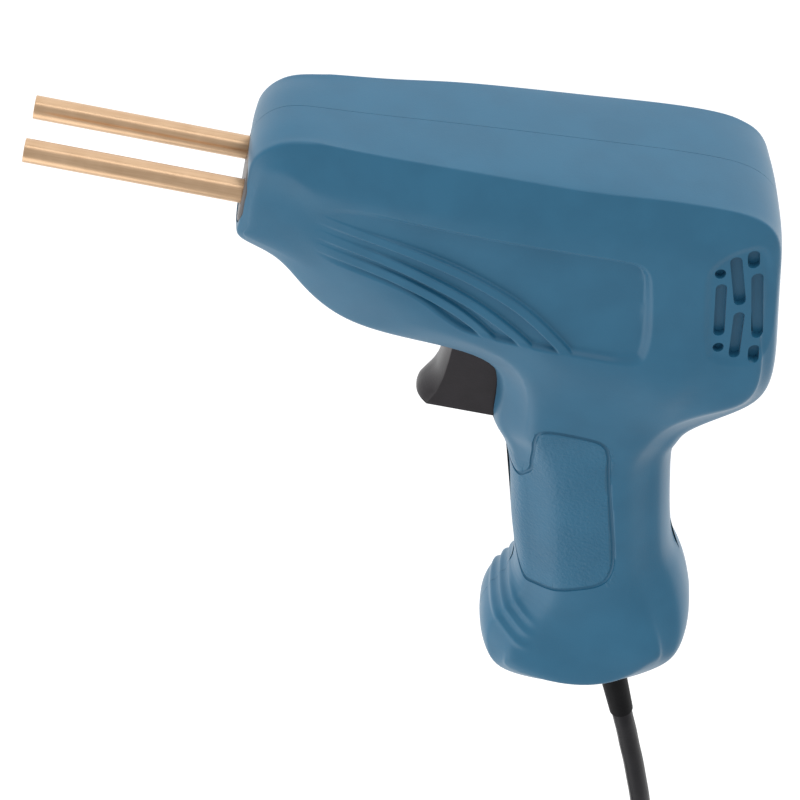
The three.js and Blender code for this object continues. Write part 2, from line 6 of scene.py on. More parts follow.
# %% Load the frame
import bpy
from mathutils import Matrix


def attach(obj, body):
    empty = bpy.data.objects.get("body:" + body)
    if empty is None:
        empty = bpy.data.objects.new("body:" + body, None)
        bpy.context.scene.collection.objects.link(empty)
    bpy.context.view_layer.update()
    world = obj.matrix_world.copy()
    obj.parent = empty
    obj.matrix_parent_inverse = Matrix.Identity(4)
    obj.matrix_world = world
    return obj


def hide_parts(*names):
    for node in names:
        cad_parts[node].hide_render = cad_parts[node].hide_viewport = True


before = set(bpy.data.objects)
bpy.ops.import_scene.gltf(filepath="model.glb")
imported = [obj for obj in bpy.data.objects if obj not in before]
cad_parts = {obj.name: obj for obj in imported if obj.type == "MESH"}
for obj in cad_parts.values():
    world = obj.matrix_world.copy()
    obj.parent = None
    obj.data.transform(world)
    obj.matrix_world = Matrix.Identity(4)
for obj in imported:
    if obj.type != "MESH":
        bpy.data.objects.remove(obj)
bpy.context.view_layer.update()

# %% [markdown]
# The casing is easiest to think about in the tool's own coordinates, in millimetres: x from the
# nose to the rear, y towards the tool's top and z towards its left, with the joint between the
# two mouldings at z = 0. A small helper turns such a point into the frame's metres.

# %% Tool coordinates
import math
import bmesh
import bpy
import numpy as np
from mathutils import Matrix, Quaternion, Vector
from mathutils.bvhtree import BVHTree

MM = 0.001
CHEEK = 24.2                 # half width of the casing
REST = (110.0, -10.0)        # the point of the cheek above the frame's origin
SURFACE = -CHEEK


def row(x, y, z=0.0):
    return Vector(((x - REST[0]) * MM, (y - REST[1]) * MM, (z + CHEEK) * MM))


def linked(name, data):
    """A new object in the scene."""
    made = bpy.data.objects.new(name, data)
    bpy.context.collection.objects.link(made)
    return made


def duplicate(piece):
    return linked(piece.name, piece.data.copy())


# %% [markdown]
# The camera comes first, because the cords are checked against what it sees. It looks down on
# the gun's top and left side, from above and a little ahead of the handle, turned so that the
# nose points left and the handle down. A long lens keeps the perspective weak.

# %% Camera
EYE = (-24.06, 381.09, 544.48)
AIM = (53.06, -63.99, 0.0)
ROLL = -177.35
LENS = 120.05


def make_camera():
    data = bpy.data.cameras.new("camera")
    data.lens = LENS
    data.sensor_width = 36
    data.clip_start = 0.05
    camera = linked("camera", data)
    camera.location = row(*EYE)
    level = (row(*AIM) - row(*EYE)).to_track_quat("-Z", "Y")
    camera.rotation_mode = "QUATERNION"
    camera.rotation_quaternion = level @ Quaternion((0, 0, 1), math.radians(ROLL))
    bpy.context.scene.camera = camera
    return camera


camera = make_camera()
print("camera at", [round(v, 3) for v in camera.location])

# %% [markdown]
# The mains lead is a six millimetre rubber cord. It leaves the base through its sleeve, drops to
# the bench and is put away as a neat round coil held by a tie, with the plug beside it. A real
# cord keeps its length and its roundness, so it is drawn as one curve with a round section:
# listed points where it lies free, and a loop that winds the turns.

# %% Route of the mains lead
CORD_R = 3.0
CORD_LEAN = 24.2
EXIT = (128.2, -137.2)
RELIEF_OUT = 29.0
COIL = (130.0, -296.0)
TURN = 2 * CORD_R + 0.1      # spacing of neighbouring turns
LOW = SURFACE + CORD_R + 0.8
PLUG = (58.0, -330.0)
PLUG_TURN = 164.0
PLUG_HALF = 6.85
COIL_R, COIL_INNER_R = 39.4, 27.0     # radius of the first turn, and of the innermost one
TURNS_IN, CLIMB_DONE = 2.2, 3.2       # the turns lie flat, then climb, then lie on top
CLIMB_PULL = 2.4                      # how far the climbing turn is drawn in


def cord_line(t, side=0.0):
    lean = math.radians(CORD_LEAN)
    return (EXIT[0] + t * math.sin(lean), EXIT[1] - t * math.cos(lean), side)


LEAD = [cord_line(RELIEF_OUT), cord_line(RELIEF_OUT + 4), (144.0, -172.4, -0.6), (146.7, -178.9, -1.1),
        (149.6, -185.6, -1.8), (153.0, -194.2, -2.8), (156.4, -203.0, -4.2), (159.5, -212.0, -6.1),
        (162.4, -221.0, -8.2), (165.0, -230.0, -10.6), (167.4, -239.0, -13.0), (169.5, -248.0, -15.4),
        (171.4, -257.0, -17.6), (173.0, -265.6, -19.2), (174.2, -274.0, -20.2), (175.3, -282.5, LOW)]
TAIL = [(114.0, -335.9, -15.6), (100.0, -337.0, -18.0), (88.0, -336.2, -20.2), (76.0, -333.8, -20.0),
        (66.0, -331.6, -18.6), (58.6, -330.2, SURFACE + PLUG_HALF)]


def ease(t):
    t = min(1.0, max(0.0, t))
    return t * t * (3 - 2 * t)


def coil_points(start, turns, per_turn=16):
    """Winds inwards on the bench, climbs, then winds outwards on top of itself."""
    points = []
    first = math.atan2(start[1], start[0])
    outer = math.hypot(*start)
    for i in range(round(turns * per_turn) + 1):
        a = turns * i / round(turns * per_turn)
        climb = min(1.0, max(0.0, a - TURNS_IN))
        lay_in = COIL_R - TURN * (a - 0.2)
        lay_out = COIL_INNER_R + TURN * (a - CLIMB_DONE)
        radius = lay_in if a < TURNS_IN else COIL_INNER_R if a < CLIMB_DONE else lay_out
        radius -= CLIMB_PULL * math.sin(math.pi * climb)
        radius += (outer - COIL_R - TURN * 0.2) * (1 - ease(a / 0.3))
        angle = first - 2 * math.pi * a
        points.append((COIL[0] + radius * math.cos(angle), COIL[1] + radius * math.sin(angle),
                       LOW + (TURN + 0.05) * ease(climb)))
    return points


START = (45.8, 5.0)
TURNS = 5 + (math.degrees(math.atan2(START[1], START[0])) + 90) / 360
ROUTE = LEAD + coil_points(START, TURNS) + TAIL
print("cord points", len(ROUTE))


def tube(name, kind, count, radius, fineness):
    """A curve with a round section, and its knots."""
    curve = bpy.data.curves.new(name, "CURVE")
    curve.dimensions = "3D"
    curve.bevel_depth = radius
    curve.bevel_resolution = fineness
    curve.use_fill_caps = True
    spline = curve.splines.new(kind)
    knots = spline.bezier_points if kind == "BEZIER" else spline.points
    knots.add(count - 1)
    return linked(name, curve), knots


def make_cord():
    cord, knots = tube("mains_cord", "BEZIER", len(ROUTE), 1, 3)
    cord.data.resolution_u = 3
    for knot, place in zip(knots, ROUTE):
        knot.co = row(*place)
        knot.radius = CORD_R * MM        # multiplies the tube's radius of 1
        knot.handle_left_type = knot.handle_right_type = "AUTO"
    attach(cord, "casing")
    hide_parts("power_cord", "cord_coil", "cord_tail")
    return cord


cord = make_cord()

# %% [markdown]
# ## The casing
# The real casing is a pair of injection mouldings that meet on the gun's middle plane. Each half
# is a freeform skin: a flat cheek, a long chamfer with a crisp crease along the top, a rounded
# rear and a handle that flares at its base. Such a form is drawn as a coarse cage of four-sided
# faces and smoothed by subdivision, because a box or a lathe can't hold it. Every row of the
# outline gives a point on the joint, then how far in and how high the crease lies there, then
# the same for the shoulder where the flat cheek begins.

# %% Outline of the casing
TOP = [
    (0.4, 13.4, 1.2, 14.8, 5.0, 16.4), (6.2, 20.2, 1.4, 15.4, 9.0, 17.4),
    (17.0, 22.2, 0.3, 15.6, 12.0, 18.6), (31.4, 23.4, 0.5, 17.2, 12.6, 20.6),
    (47, 24.9, 0.5, 19.0, 12.4, 22.4), (65, 26.5, 0.8, 20.4, 12.6, 23.5),
    (82.7, 27.9, 1.0, 21.3, 13.2, 24.0), (98, 29.1, 0.7, 21.4, 13.8, 24.1),
    (111, 29.7, 0.6, 21.5, 13.6, 24.0), (121.5, 28.8, 0.8, 21.2, 11.5, 23.3),
    (129.8, 23.4, 1.2, 20.8, 8.0, 22.6)]
REAR = [(134.6, 10.5, 2.0, 20.2, 7, 22.5), (138.8, -5.5, 2.3, 19.8, 7, 22.7),
        (142.2, -19, 3.0, 19.4, 7.5, 22.8)]
UNDER_REAR = [(142.6, -30.5, 5.0, 18.0, 10, 22.4), (136.4, -39.5, 5.8, 17.0, 13, 22.0)]
BACK_STRAP = [
    (129.2, -48.5, 6, 14.5, 14, 18.8), (127.2, -54, 6.3, 13.8, 14, 17.7),
    (126.6, -59.5, 6.5, 13.2, 14, 16.8),
    (129.6, -73, 6.5, 13, 14, 16.7), (134.6, -90, 6.5, 13.2, 14, 16.9),
    (139.4, -98.4, 6.5, 14, 14, 17.9), (144.8, -108.5, 6, 16.2, 13, 20.2),
    (147.0, -120, 5, 18.6, 11, 22.0), (142.6, -130.2, 4.5, 18.6, 10, 22.2)]
BASE = [(130.5, -136.8, 2.4, 18.8, 7, 22.6), (115.5, -141.3, 2.4, 18.4, 7, 22.4)]
FRONT_STRAP = [
    (99.5, -143.8, 3, 15.2, 9, 19.8), (91.6, -136.5, 3.5, 14, 10, 19.4),
    (90.8, -125.5, 4, 13.4, 11, 18.4), (95.2, -113, 5, 12.8, 12, 17.2),
    (91.0, -96, 5.5, 12.6, 13, 16.8), (86.2, -78, 5.5, 12.6, 13, 16.9),
    (80.6, -64.4, 4.9, 12.8, 12.5, 17.7),
    (75.6, -55.4, 4.7, 13.6, 12.2, 19.2), (71.2, -38.8, 4.6, 15.6, 12, 21.2)]
BELLY = [
    (50, -31.8, 2.0, 16.9, 12.5, 22.0), (32, -29.6, 1.8, 15.9, 14, 20.2),
    (20.0, -23.0, 1.4, 14.6, 11, 18.6), (11, -15.6, 1.2, 14.0, 6.5, 17.2),
    (1.3, -12.3, 1.8, 13.7, 5.0, 15.8)]
NOSE = [(0.5, -6.5, 0.7, 13.9, 4, 15.9), (0.2, 0, 0.7, 14, 4, 15.9), (0.2, 6.5, 1.0, 14.1, 4, 15.9)]
OUTLINE = TOP + REAR + UNDER_REAR + BACK_STRAP + BASE + FRONT_STRAP + BELLY + NOSE

COLUMNS, ROWS, HANDLE_ROWS = 10, 4, 8   # cells of the cheek's grid and the handle's grid
FIRST, LAST = 5, 8                      # the handle hangs below these columns
RINGS = 6
SEAM = 0.05                             # half of the joint's gap
JOINT_TOP = SEAM + 1e-4                 # points below this height lie on the joint
CHEEK_SIDE = 12                         # points above this height belong to the cheek
CREASE_RING = 3
print("outline rows", len(OUTLINE))


# %% [markdown]
# The cage has six rings from the joint up to the shoulder, and inside the shoulder two grids of
# faces: one over the cheek and one down the handle. All faces have four sides, so the smoothed
# skin stays free of pinches.

# %% Build the cage
def cheek_at(x):
    return CHEEK - 8.8 * max(0.0, (80 - x) / 78) ** 1.7


def ring_point(station, level):
    crease_in, crease_up, shoulder_in, shoulder_up = station[2:]
    return ((0.0, SEAM), (0.12 * crease_in, 0.5 * crease_up), (0.5 * crease_in, 0.86 * crease_up),
            (crease_in, crease_up),
            ((crease_in + shoulder_in) / 2, 0.4 * crease_up + 0.6 * shoulder_up),
            (shoulder_in, shoulder_up))[level]


def inward_at(index):
    ax, ay = OUTLINE[index - 1][:2]
    bx, by = OUTLINE[(index + 1) % len(OUTLINE)][:2]
    length = math.hypot(bx - ax, by - ay)
    return (by - ay) / length, -(bx - ax) / length


def cage():
    points, faces = [], []
    count = len(OUTLINE)

    def add(x, y, z):
        points.append(Vector((x, y, z)))
        return len(points) - 1

    rings = []
    for level in range(RINGS):
        ring = []
        for i, station in enumerate(OUTLINE):
            nx, ny = inward_at(i)
            inwards, up = ring_point(station, level)
            ring.append(add(station[0] + nx * inwards, station[1] + ny * inwards, up))
        rings.append(ring)
    for low, high in zip(rings, rings[1:]):
        for i in range(count):
            j = (i + 1) % count
            faces.append((low[i], high[i], high[j], low[j]))
    shoulder = rings[-1]
    rear_low = COLUMNS + ROWS
    strap = rear_low + COLUMNS - LAST
    base = strap + HANDLE_ROWS
    front = base + LAST - FIRST
    belly = front + HANDLE_ROWS
    grip = []
    for r in range(HANDLE_ROWS + 1):
        ahead, behind = shoulder[front + HANDLE_ROWS - r], shoulder[strap + r]
        if r == HANDLE_ROWS:
            middle = [shoulder[base + 2], shoulder[base + 1]]
        else:
            crown = 1.6 if r == 0 else 0.5
            middle = [add(*(points[ahead].lerp(points[behind], c / 3) + Vector((0, 0, crown))))
                      for c in (1, 2)]
        grip.append([ahead, *middle, behind])
    body = []
    for i in range(COLUMNS + 1):
        if i <= FIRST:
            foot = shoulder[belly + FIRST - i]
        elif i < LAST:
            foot = grip[0][i - FIRST]
        else:
            foot = shoulder[rear_low + COLUMNS - i]
        column = [shoulder[i]]
        for j in range(1, ROWS):
            if i == 0:
                column.append(shoulder[count - j])
            elif i == COLUMNS:
                column.append(shoulder[COLUMNS + j])
            else:
                spot = points[shoulder[i]].lerp(points[foot], j / ROWS)
                column.append(add(spot.x, spot.y, cheek_at(spot.x) - (0.5 if i == COLUMNS - 1 else 0)))
        body.append(column + [foot])
    for grid in (body, list(zip(*grip))):
        for left, right in zip(grid, grid[1:]):
            for j in range(len(left) - 1):
                faces.append((left[j], left[j + 1], right[j + 1], right[j]))
    return points, faces, rings


# %% [markdown]
# Subdivision pulls a surface in from its cage. To make the smoothed skin pass through the chosen
# points, each cage point is pushed out by what it misses, a few times over. Crease weights keep
# the long edge of the chamfer and the ridge behind the nose crisp, and the shoulder nearly so.

# %% Smooth the skin through its points
CRISP = 0.62
SHOULDER_CRISP = 0.35
RIDGE_CRISP = 0.55
LEVELS = 3
PUSHES = 8


def crease_weights(rings):
    weights = {}
    crease = rings[CREASE_RING]
    for i in range(2, 11):
        weights[crease[i], crease[i + 1]] = CRISP if i < 9 else CRISP - 0.25 * (i - 8)
    shoulder = rings[-1]
    for i in range(1, 9):
        weights[shoulder[i], shoulder[i + 1]] = SHOULDER_CRISP
    for low, high in zip(rings[:CREASE_RING], rings[1:]):
        weights[low[2], high[2]] = RIDGE_CRISP
    return weights


def nothing_selected():
    bpy.ops.object.select_all(action="DESELECT")


def pick(*pieces):
    """Selects these pieces and nothing else, and makes the first one active."""
    nothing_selected()
    for piece in pieces:
        piece.select_set(True)
    bpy.context.view_layer.objects.active = pieces[0]


def smoothed(points, faces, weights):
    mesh = bpy.data.meshes.new("skin")
    mesh.from_pydata(points, [], faces)
    layer = mesh.attributes.new("crease_edge", "FLOAT", "EDGE")
    for edge in mesh.edges:
        a, b = edge.vertices
        layer.data[edge.index].value = max(weights.get((a, b), 0.0), weights.get((b, a), 0.0))
    skin = linked("skin", mesh)
    smooth = skin.modifiers.new("smooth", "SUBSURF")
    smooth.levels = smooth.render_levels = LEVELS
    for _ in range(PUSHES):
        graph = bpy.context.evaluated_depsgraph_get()
        result = skin.evaluated_get(graph).data
        misses = [points[i] - result.vertices[i].co for i in range(len(points))]
        for vertex, miss in zip(mesh.vertices, misses):
            vertex.co += miss
        mesh.update()
    print("largest miss", round(max(m.length for m in misses), 3), "mm")
    pick(skin)
    bpy.ops.object.modifier_apply(modifier="smooth")
    return skin


points, faces, rings = cage()
skin = smoothed(points, faces, crease_weights(rings))
print("skin faces", len(skin.data.polygons))


# %% [markdown]
# The mould also forms a shallow panel in the cheek with three bars left standing in it, a set of
# blind slots at the rear, soft ripples round the front of the base, and a grained grip panel set
# off by a fine groove. Shallow relief is easiest as height: the skin is refined where an edge
# runs, and its points are then lowered by an amount worked out from their distance to the edge.

# %% Lines of the relief
PANEL = [(16, 8.2), (58, 9.3), (91, 11.0), (100.5, 10.8), (104, 0), (107.2, -13.5), (106, -20.5),
         (92, -20.4), (64, -21.6), (58, -19.6), (48.4, -13.6), (40, -11.2), (16, -8.6)]
BARS = [[(16, 4.6), (26, 3.2), (38.7, 1.6), (49.5, -0.2), (60.6, -3.0), (74.5, -8.6), (86.5, -17.8),
         (91.5, -23)],
        [(16, 0.4), (23, -0.8), (36.6, -2.9), (46.7, -5.2), (59.7, -9.2), (68.9, -13.6), (77.3, -19),
         (81, -23)],
        [(16, -3.6), (23.2, -4.6), (32.5, -6.0), (42.4, -7.9), (52.8, -11.0), (60.7, -14.5), (68, -19.6),
         (71, -23)]]
PANEL_DEPTH = 1.7
BAR_WIDTH = 3.1
TOP_WALL = 1.7                          # width of the slope round the panel
GRIP = [(60, -58), (80, -62), (84.4, -67.6), (90.2, -68.6), (88.4, -55), (87.2, -49.2), (93, -49.6),
        (104.0, -50.2), (108.4, -53.4), (110.6, -66), (119.6, -94), (119.4, -101), (111, -104),
        (98.5, -109), (94.0, -104.5), (90, -97), (60, -97)]
SLOT_BED = [(113.8, 8.8), (113.9, 13.8), (118.3, 19.2), (126, 22.9), (131, 16.2), (136.6, -4), (136, -13),
            (130, -15.4), (122.6, -15.2), (119.8, -12.6)]
BED_DEPTH, BED_WALL = 0.8, 2.6
RIPPLE_SPINE = [(103.5, -110.5), (101.5, -104), (99, -96)]


def rounded(line, closed, times=3):
    """Cuts the corners off a line of straight pieces, as a maker rounds a template."""
    for _ in range(times):
        ends = list(zip(line, line[1:] + line[:1])) if closed else list(zip(line, line[1:]))
        cut = [tuple(a + (b - a) * t for a, b in zip(start, end)) for start, end in ends
               for t in (0.25, 0.75)]
        line = cut if closed else [line[0]] + cut[1:-1] + [line[-1]]
    return line


def distance_to(spots, line, closed=False):
    """Distance from each spot to a line, and which side of it the spot lies on."""
    ends = np.array(line + line[:1] if closed else line)
    best = np.full(len(spots), 1e9)
    side = np.zeros(len(spots))
    for a, b in zip(ends, ends[1:]):
        along = b - a
        t = np.clip(((spots - a) @ along) / (along @ along), 0, 1)
        off = spots - a - t[:, None] * along
        gap = np.hypot(off[:, 0], off[:, 1])
        nearer = gap < best - 1e-9
        side[nearer] = np.sign(along[0] * (spots[:, 1] - a[1]) - along[1] * (spots[:, 0] - a[0]))[nearer]
        best = np.minimum(best, gap)
    return best, side


def inside(spots, line):
    ends = np.array(line + line[:1])
    crossings = np.zeros(len(spots), dtype=int)
    for (ax, ay), (bx, by) in zip(ends, ends[1:]):
        if ay == by:
            continue
        spans = (spots[:, 1] >= min(ay, by)) & (spots[:, 1] < max(ay, by))
        crossings += spans & (spots[:, 0] < ax + (spots[:, 1] - ay) * (bx - ax) / (by - ay))
    return crossings % 2 == 1


def eased(values):
    t = np.clip(values, 0, 1)
    return t * t * (3 - 2 * t)


panel = rounded(PANEL, True)
bars = [rounded(bar, False) for bar in BARS]
grip = rounded(GRIP, True)
bed = rounded(SLOT_BED, True)
print("panel outline points", len(panel))


# %% Refine the skin near the edges
def coordinates(piece):
    spots = np.empty(len(piece.data.vertices) * 3)
    piece.data.vertices.foreach_get("co", spots)
    return spots.reshape(-1, 3)


def move_points(piece, spots):
    piece.data.vertices.foreach_set("co", spots.ravel())
    piece.data.update()


def refine(piece, is_near, cuts):
    """Cuts up the faces whose points are all near a line."""
    near = is_near(coordinates(piece))
    for vertex, flag in zip(piece.data.vertices, near):
        vertex.select = bool(flag)
    for face in piece.data.polygons:
        face.select = bool(near[list(face.vertices)].all())
    for edge in piece.data.edges:
        edge.select = bool(near[list(edge.vertices)].all())
    bpy.context.view_layer.objects.active = piece
    bpy.ops.object.mode_set(mode="EDIT")
    bpy.ops.mesh.select_mode(type="FACE")
    bpy.ops.mesh.subdivide(number_cuts=cuts)
    bpy.ops.mesh.select_all(action="DESELECT")
    bpy.ops.object.mode_set(mode="OBJECT")


def near_relief(spots):
    flat = spots[:, :2]
    high = spots[:, 2] > CHEEK_SIDE
    near = distance_to(flat, panel, True)[0] < 3.4
    for bar in bars:
        gap, side = distance_to(flat, bar)
        reach = gap * -side
        near |= (reach > -1.7) & (reach < BAR_WIDTH + 1.9) & inside(flat, panel)
    near |= distance_to(flat, bed, True)[0] < 3.2
    ripples = (flat[:, 0] < 106) & (flat[:, 1] < -104) & (distance_to(flat, RIPPLE_SPINE)[0] < 20)
    return (near & high & (flat[:, 0] > 20)) | ripples


def panel_depth(flat):
    """How far the cheek is sunk at each spot."""
    x = flat[:, 0]
    gap = distance_to(flat, panel, True)[0] * np.where(inside(flat, panel), 1, -1)
    wall = TOP_WALL + 1.2 * eased((x - 97) / 6)
    floor = eased((gap + 0.15) / wall)
    for bar in bars:
        gap, side = distance_to(flat, bar)
        reach = gap * -side
        bar_form = eased(reach / 0.5) * eased((BAR_WIDTH - reach) / 0.6)
        floor = floor * (1 - bar_form * (0.72 + 0.07 * reach))
    return PANEL_DEPTH * floor * eased((x - 17) / 38)


smooth_skin = skin.data.copy()
refine(skin, near_relief, 4)
spots = coordinates(skin)
spots[:, 2] -= np.where(spots[:, 2] > CHEEK_SIDE, panel_depth(spots[:, :2]), 0)
print("refined faces", len(skin.data.polygons))


# %% Ripples round the base and a shallow bed for the rear slots
RIPPLES = ((9.3, 0.6), (13.0, 0.7), (17.0, 0.6))
RIPPLE_WIDTH = 1.1


def ripple_height(spots):
    flat = spots[:, :2]
    gap, side = distance_to(flat, RIPPLE_SPINE)
    height = sum(size * np.exp(-((gap - out) / RIPPLE_WIDTH) ** 2) for out, size in RIPPLES)
    ahead = eased((105 - flat[:, 0]) / 6)
    return height * ahead * eased((flat[:, 1] + 146) / 6) * eased((-103 - flat[:, 1]) / 8)


def push_along_normals(piece, spots, heights):
    normals = np.empty(len(spots) * 3)
    piece.data.vertex_normals.foreach_get("vector", normals)
    return spots + normals.reshape(-1, 3) * heights[:, None]


flat = spots[:, :2]
bed_gap = distance_to(flat, bed, True)[0] * np.where(inside(flat, bed), 1, -1)
heights = ripple_height(spots) - BED_DEPTH * eased(bed_gap / BED_WALL) * (spots[:, 2] > CHEEK_SIDE)
on_joint = spots[:, 2] < JOINT_TOP
spots = push_along_normals(skin, spots, heights)
spots[on_joint, 2] = SEAM
move_points(skin, spots)
grained = inside(spots[:, :2], grip).astype(float)
mask = skin.data.attributes.new("grained", "FLOAT", "POINT")
mask.data.foreach_set("value", grained)
print("grained points", int(grained.sum()))

# %% [markdown]
# A moulded shell has a wall. The smooth skin from before the relief is copied, moved inwards and
# relaxed, and the two skins are joined along the joint, so each half is one closed body.

# %% Give the skin a wall
WALL = 3.0
RELAX_STEPS = 12


def inner_wall(data):
    inner = linked("inner", data)
    start = coordinates(inner)
    spots = push_along_normals(inner, start, np.full(len(start), -WALL))
    spots[start[:, 2] < JOINT_TOP, 2] = SEAM
    move_points(inner, spots)
    work = bmesh.new()
    work.from_mesh(data)
    work.verts.ensure_lookup_table()
    loose = [v for v in work.verts if not v.is_boundary]
    for _ in range(RELAX_STEPS):
        bmesh.ops.smooth_vert(work, verts=loose, factor=0.5, use_axis_x=True, use_axis_y=True,
                              use_axis_z=True)
    bmesh.ops.reverse_faces(work, faces=work.faces)
    work.to_mesh(data)
    work.free()
    return inner


def join(pieces, name):
    pick(*pieces)
    bpy.ops.object.join()
    pieces[0].name = pieces[0].data.name = name
    return pieces[0]


def close_along_joint(piece):
    pick(piece)
    bpy.ops.object.mode_set(mode="EDIT")
    bpy.ops.mesh.select_all(action="DESELECT")
    bpy.ops.mesh.select_mode(type="EDGE")
    bpy.ops.mesh.select_non_manifold()
    bpy.ops.mesh.bridge_edge_loops()
    bpy.ops.object.mode_set(mode="OBJECT")


half = join([skin, inner_wall(smooth_skin)], "left_casing")
close_along_joint(half)
check = bmesh.new()
check.from_mesh(half.data)
open_edges = sum(not edge.is_manifold for edge in check.edges)
print("open edges", open_edges, "volume", round(check.calc_volume() / 1000, 2), "cm3")
check.free()

# %% [markdown]
# ## Openings
# The openings of a moulded shell are what a core pulls out of it: the mouth in the nose, the slot
# for the trigger, the hole for the cord's sleeve, the blind slots at the rear and the groove round
# the grip. Each is a solid shaped like the hole, made from a primitive with rounded edges and
# then taken away from the shell.

# %% Working by hand in edit mode
SLACK = 0.01


def named(name):
    piece = bpy.context.object
    piece.name = piece.data.name = name
    return piece


def box(name, low, high):
    nothing_selected()
    middle = [(a + b) / 2 for a, b in zip(low, high)]
    bpy.ops.mesh.primitive_cube_add(size=1, location=middle, scale=[b - a for a, b in zip(low, high)])
    bpy.ops.object.transform_apply(location=True, rotation=True, scale=True)
    return named(name)


def round_bar(name, start, end, radius, sides=48, end_radius=None):
    nothing_selected()
    start, end = Vector(start), Vector(end)
    turn = (end - start).to_track_quat("Z", "Y").to_euler()
    bpy.ops.mesh.primitive_cone_add(
        vertices=sides, radius1=radius, radius2=radius if end_radius is None else end_radius,
        depth=(end - start).length, location=(start + end) / 2, rotation=turn)
    bpy.ops.object.transform_apply(location=True, rotation=True, scale=True)
    return named(name)


def in_edit_mode(piece, kind, chosen, *steps):
    """Selects faces by centre and normal, or edges by their two ends, and runs the steps on them."""
    pick(piece)
    bpy.ops.object.mode_set(mode="EDIT")
    bpy.ops.mesh.select_mode(type=kind)
    bpy.ops.mesh.select_all(action="DESELECT")
    bpy.ops.object.mode_set(mode="OBJECT")
    data = piece.data
    if kind == "FACE":
        for face in data.polygons:
            face.select = bool(chosen(face.center, face.normal))
    else:
        for edge in data.edges:
            edge.select = bool(chosen(*(data.vertices[i].co for i in edge.vertices)))
    bpy.ops.object.mode_set(mode="EDIT")
    for step in steps:
        step()
    bpy.ops.object.mode_set(mode="OBJECT")


def along(axis, a, b):
    """Whether an edge runs along an axis."""
    return abs((b - a).normalized()[axis]) > 0.99


def across(axis, a, b, place):
    """Whether an edge lies in the plane where a coordinate has one value."""
    return abs(a[axis] - place) < SLACK and abs(b[axis] - place) < SLACK


def rounder(offset, segments):
    return lambda: bpy.ops.mesh.bevel(offset=offset, segments=segments, affect="EDGES")


def round_along(piece, axis, offset, segments):
    in_edit_mode(piece, "EDGE", lambda a, b: along(axis, a, b), rounder(offset, segments))


def round_rims(piece, axis, places, offset, segments):
    in_edit_mode(piece, "EDGE", lambda a, b: any(across(axis, a, b, place) for place in places),
                 rounder(offset, segments))


def apply_all(piece):
    pick(piece)
    for modifier in list(piece.modifiers):
        bpy.ops.object.modifier_apply(modifier=modifier.name)


def combine(piece, other, operation):
    modifier = piece.modifiers.new(operation, "BOOLEAN")
    modifier.operation = operation
    modifier.solver = "MANIFOLD"
    modifier.object = other
    apply_all(piece)
    bpy.data.objects.remove(other)
    return piece


def soften(piece, degrees=40):
    pick(piece)
    bpy.ops.object.shade_smooth_by_angle(angle=math.radians(degrees))


# %% Mouth, trigger slot, cord hole and rear slots
PLATE_HALF = (9.4, 14.0)      # half height and half width of the nose plate
PLATE_R = 7.0
GAP = 0.3
TRIGGER_SLOT = ((54, -58.4, -8.2), (86, -27, 8.2))
VENT_DEPTH = 2.0
CUT_TOP = 40                  # a height well outside the casing
CORD_HOLE_R = 4.9
VENTS = [
    (117.6, 11.6, 117.6, 11.6, 1.4), (119.1, 7.3, 122.2, -5.5, 1.4), (123.4, -10.4, 123.4, -10.4, 1.4),
    (120.5, 15.5, 124.6, 4.6, 1.5), (125.9, -0.4, 127.9, -11.5, 1.4),
    (124.3, 17.8, 124.9, 15.8, 1.5), (127.1, 11.4, 131.9, -4.7, 1.5), (132.5, -9.8, 133.0, -12.0, 1.4)]


def outer_height(tree, x, y):
    return tree.ray_cast(Vector((x, y, 60)), Vector((0, 0, -1)))[0].z


def plate_block(name, grow, front, back, segments=10):
    high, wide = PLATE_HALF[0] + grow, PLATE_HALF[1] + grow
    block = box(name, (front, -high, -wide), (back, high, wide))
    round_along(block, 0, PLATE_R + grow, segments)
    return block


def slot_cutter(tree, spot):
    x1, y1, x2, y2, radius = spot
    floor = outer_height(tree, (x1 + x2) / 2, (y1 + y2) / 2) - VENT_DEPTH
    if (x1, y1) == (x2, y2):
        return round_bar("slot", (x1, y1, floor), (x1, y1, CUT_TOP), radius, 24)
    length = math.hypot(x2 - x1, y2 - y1) / 2 + radius
    block = box("slot", (-length, -radius, floor), (length, radius, CUT_TOP))
    round_along(block, 2, radius * 0.97, 8)
    block.data.transform(Matrix.Translation(((x1 + x2) / 2, (y1 + y2) / 2, 0))
                         @ Matrix.Rotation(math.atan2(y2 - y1, x2 - x1), 4, "Z"))
    return block


tree = BVHTree.FromPolygons([v.co for v in half.data.vertices], [p.vertices for p in half.data.polygons])
cutters = [plate_block("mouth", GAP, -5, 8), box("trigger_slot", *TRIGGER_SLOT),
           round_bar("cord_hole", cord_line(-5), cord_line(6), CORD_HOLE_R, 40)]
cutters += [slot_cutter(tree, spot) for spot in VENTS]
print("cutters", len(cutters))

# %% [markdown]
# The groove round the grip follows the handle's curved side and runs round its front. A fine
# round bar is laid on the surface along the groove's line and taken away.

# %% Groove round the grip
GROOVE_FOOT = [(92.6, -98, -1), (93, -101, 5), (94.2, -106, 8.5), (96.0, -108.8, 12.5)]
GROOVE_SIDE = [(101, -108.4), (110.6, -104.4), (117.4, -101.0), (118.9, -96), (117.6, -89), (113.2, -75.5),
               (109, -62), (107.6, -55.6), (105.0, -51.2), (99.0, -50.0), (90, -49.7), (87.3, -51.2),
               (87.3, -55.5), (88.4, -60.5), (88.8, -64.5)]
GROOVE_HEAD = [(88.6, -69, 15.3), (87.7, -71.8, 13), (86.4, -72.8, 10.5), (84.9, -72, 8), (83.6, -70, 4),
               (83.2, -69, -1)]
GROOVE_R = 0.62


